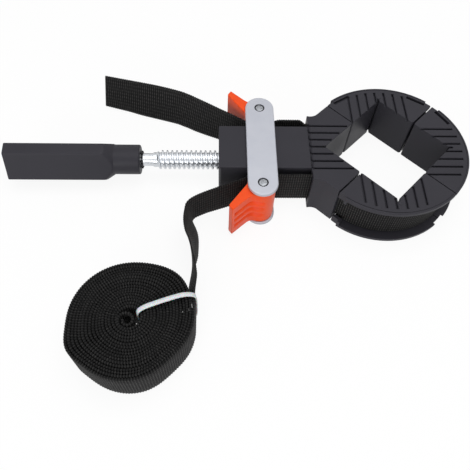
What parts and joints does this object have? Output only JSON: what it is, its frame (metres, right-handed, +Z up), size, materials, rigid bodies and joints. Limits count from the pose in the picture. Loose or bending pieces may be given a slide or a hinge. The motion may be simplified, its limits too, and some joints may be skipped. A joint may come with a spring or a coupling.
{
  "type": "ratchet band clamp",
  "caption": "Band clamp: a screw handle pushes a front jaw, cam levers on a riveted yoke hold the webbing band, and grooved corner jaws form a ring.",
  "frame": {"origin": "middle of the lower yoke plate's underside, between the two rivets", "axes": "+X from the handle to the ring of jaws, +Z up from the bench, +Y to the side of the free tail"},
  "size_m": [0.2864, 0.2088, 0.0331],
  "materials": {
    "dark_plastic": "moulded, satin",
    "orange_plastic": "moulded, semi-gloss",
    "plated_steel": "zinc plated, grey",
    "bright_steel": "zinc plated, bright",
    "black_steel": "blackened",
    "webbing": "woven polyester",
    "clear_nylon": "natural nylon"
  },
  "bodies": {
    "yoke": {"block_housing": "dark_plastic", "spindle_nut": "plated_steel", "yoke_plate_bottom": "plated_steel", "yoke_plate_top": "plated_steel", "rivet_near": "bright_steel", "rivet_far": "bright_steel", "rivet_bush_near": "bright_steel", "rivet_bush_far": "bright_steel", "cam_spring_near": "bright_steel", "cam_spring_far": "bright_steel", "band_side_near": "webbing", "band_side_far": "webbing", "band_tail": "webbing", "band_lead": "webbing", "band_coil": "webbing", "coil_tie": "clear_nylon"},
    "front_jaw": {"front_jaw": "dark_plastic", "thrust_pad": "bright_steel", "retaining_clip": "plated_steel", "band_wrap_near": "webbing", "band_wrap_far": "webbing"},
    "screw": {"spindle": "bright_steel", "handle_grip": "dark_plastic", "shank_washer": "black_steel"},
    "near_jaw": {"near_jaw": "dark_plastic", "band_end_near": "webbing"},
    "end_jaw": {"end_jaw": "dark_plastic"},
    "far_jaw": {"far_jaw": "dark_plastic"},
    "band_end": {"band_end_far": "webbing"},
    "near_cam": {"cam_lever_near": "orange_plastic"},
    "far_cam": {"cam_lever_far": "orange_plastic"}
  },
  "joints": [
    {"name": "jaw_slide", "type": "slide", "parent": "yoke", "child": "front_jaw", "axis": [1, 0, 0], "range_m": [0, 0.03], "deforming": ["band_side_near", "band_side_far"]},
    {"name": "spindle_turn", "type": "hinge", "parent": "front_jaw", "child": "screw", "pos_m": [-0.05, 0, 0.01655], "axis": [1, 0, 0], "range_deg": [0, 3600]},
    {"name": "near_jaw_slide", "type": "slide", "parent": "front_jaw", "child": "near_jaw", "axis": [0.7071, -0.7071, 0], "range_m": [0, 0.025], "deforming": ["band_wrap_near"]},
    {"name": "far_jaw_slide", "type": "slide", "parent": "front_jaw", "child": "far_jaw", "axis": [0.7071, 0.7071, 0], "range_m": [0, 0.025], "deforming": ["band_wrap_far"]},
    {"name": "end_jaw_slide", "type": "slide", "parent": "near_jaw", "child": "end_jaw", "axis": [0.7071, 0.7071, 0], "range_m": [0, 0.025], "deforming": ["band_end_near"]},
    {"name": "band_end_slide", "type": "slide", "parent": "far_jaw", "child": "band_end", "axis": [0.7071, -0.7071, 0], "range_m": [0, 0.025], "deforming": ["band_end_far"]},
    {"name": "near_cam_turn", "type": "hinge", "parent": "yoke", "child": "near_cam", "pos_m": [0, -0.0293, 0.01655], "axis": [0, 0, 1], "range_deg": [0, 40], "stiffness_Nm_per_rad": 0.05, "springref_deg": -28.65},
    {"name": "far_cam_turn", "type": "hinge", "parent": "yoke", "child": "far_cam", "pos_m": [0, 0.0293, 0.01655], "axis": [0, 0, -1], "range_deg": [0, 40], "stiffness_Nm_per_rad": 0.05, "springref_deg": -28.65}
  ],
  "couplings": [
    {"joint": "spindle_turn", "follows": "jaw_slide", "rad_per_m": 2094.4},
    {"joint": "end_jaw_slide", "follows": "far_jaw_slide", "ratio": 1},
    {"joint": "band_end_slide", "follows": "near_jaw_slide", "ratio": 1}
  ]
}
